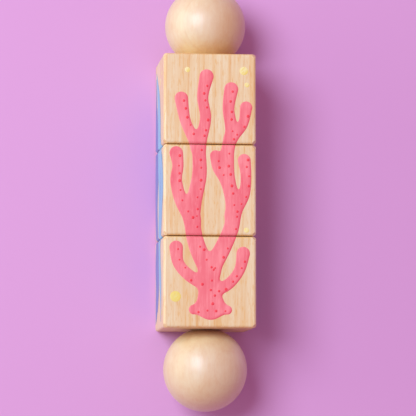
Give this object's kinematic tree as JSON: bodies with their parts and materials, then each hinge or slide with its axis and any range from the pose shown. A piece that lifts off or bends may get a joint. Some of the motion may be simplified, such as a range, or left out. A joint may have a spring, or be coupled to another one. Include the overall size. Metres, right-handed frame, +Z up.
{
  "type": "wooden block rattle",
  "caption": "Baby's toy rattle: square wooden blocks that turn on a dowel glued between end balls, with loose steel balls sealed in chambers inside the blocks.",
  "frame": {"origin": "on the surface the rattle lies on, under the centre of the middle block", "axes": "+Y along the axle towards the smaller end ball, +X across the blocks to the right seen from above, +Z up out of the painted front faces"},
  "size_m": [0.033, 0.1535, 0.033],
  "materials": {
    "block_wood": "sanded pale beech, faces oiled thinly, edges rounded by hand",
    "ball_wood": "turned and sanded pale beech, thin satin oil",
    "dowel_wood": "plain sanded beech dowel",
    "plug_wood": "plain beech plug, glued and sanded flush",
    "rattle_steel": "bright ground steel ball",
    "paint_coral": "thin matt coral-pink paint, wood grain showing through",
    "paint_red": "thin matt red paint dots",
    "paint_yellow": "thin matt pale yellow paint",
    "paint_blue": "thin matt light blue paint, wood grain showing through",
    "paint_green": "thin matt sea-green paint, wood grain showing through"
  },
  "bodies": {
    "axle": {"axle_dowel": "dowel_wood", "end_ball_top": "ball_wood", "end_ball_bottom": "ball_wood"},
    "block_top": {"block_top": "block_wood", "chamber_plug_top_a": "plug_wood", "chamber_plug_top_b": "plug_wood"},
    "block_middle": {"block_middle": "block_wood", "chamber_plug_middle_a": "plug_wood", "chamber_plug_middle_b": "plug_wood"},
    "block_bottom": {"block_bottom": "block_wood", "chamber_plug_bottom_a": "plug_wood", "chamber_plug_bottom_b": "plug_wood"},
    "rattle_ball_top_a": {"rattle_ball_top_a": "rattle_steel"},
    "rattle_ball_top_b": {"rattle_ball_top_b": "rattle_steel"},
    "rattle_ball_middle_a": {"rattle_ball_middle_a": "rattle_steel"},
    "rattle_ball_middle_b": {"rattle_ball_middle_b": "rattle_steel"},
    "rattle_ball_bottom_a": {"rattle_ball_bottom_a": "rattle_steel"},
    "rattle_ball_bottom_b": {"rattle_ball_bottom_b": "rattle_steel"}
  },
  "joints": [
    {"name": "block_top_spin", "type": "hinge", "parent": "axle", "child": "block_top", "pos_m": [0, 0.0326, 0.0165], "axis": [0, 1, 0], "continuous": true},
    {"name": "block_middle_spin", "type": "hinge", "parent": "axle", "child": "block_middle", "pos_m": [0, 0, 0.0165], "axis": [0, 1, 0], "continuous": true},
    {"name": "block_bottom_spin", "type": "hinge", "parent": "axle", "child": "block_bottom", "pos_m": [0, -0.0326, 0.0165], "axis": [0, 1, 0], "continuous": true},
    {"name": "rattle_ball_top_a_slide", "type": "slide", "parent": "block_top", "child": "rattle_ball_top_a", "axis": [0, -1, 0], "range_m": [0, 0.01435]},
    {"name": "rattle_ball_top_b_slide", "type": "slide", "parent": "block_top", "child": "rattle_ball_top_b", "axis": [0, -1, 0], "range_m": [0, 0.01435]},
    {"name": "rattle_ball_middle_a_slide", "type": "slide", "parent": "block_middle", "child": "rattle_ball_middle_a", "axis": [0, -1, 0], "range_m": [0, 0.01435]},
    {"name": "rattle_ball_middle_b_slide", "type": "slide", "parent": "block_middle", "child": "rattle_ball_middle_b", "axis": [0, -1, 0], "range_m": [0, 0.01435]},
    {"name": "rattle_ball_bottom_a_slide", "type": "slide", "parent": "block_bottom", "child": "rattle_ball_bottom_a", "axis": [0, 1, 0], "range_m": [0, 0.01435]},
    {"name": "rattle_ball_bottom_b_slide", "type": "slide", "parent": "block_bottom", "child": "rattle_ball_bottom_b", "axis": [0, 1, 0], "range_m": [0, 0.01435]}
  ]
}
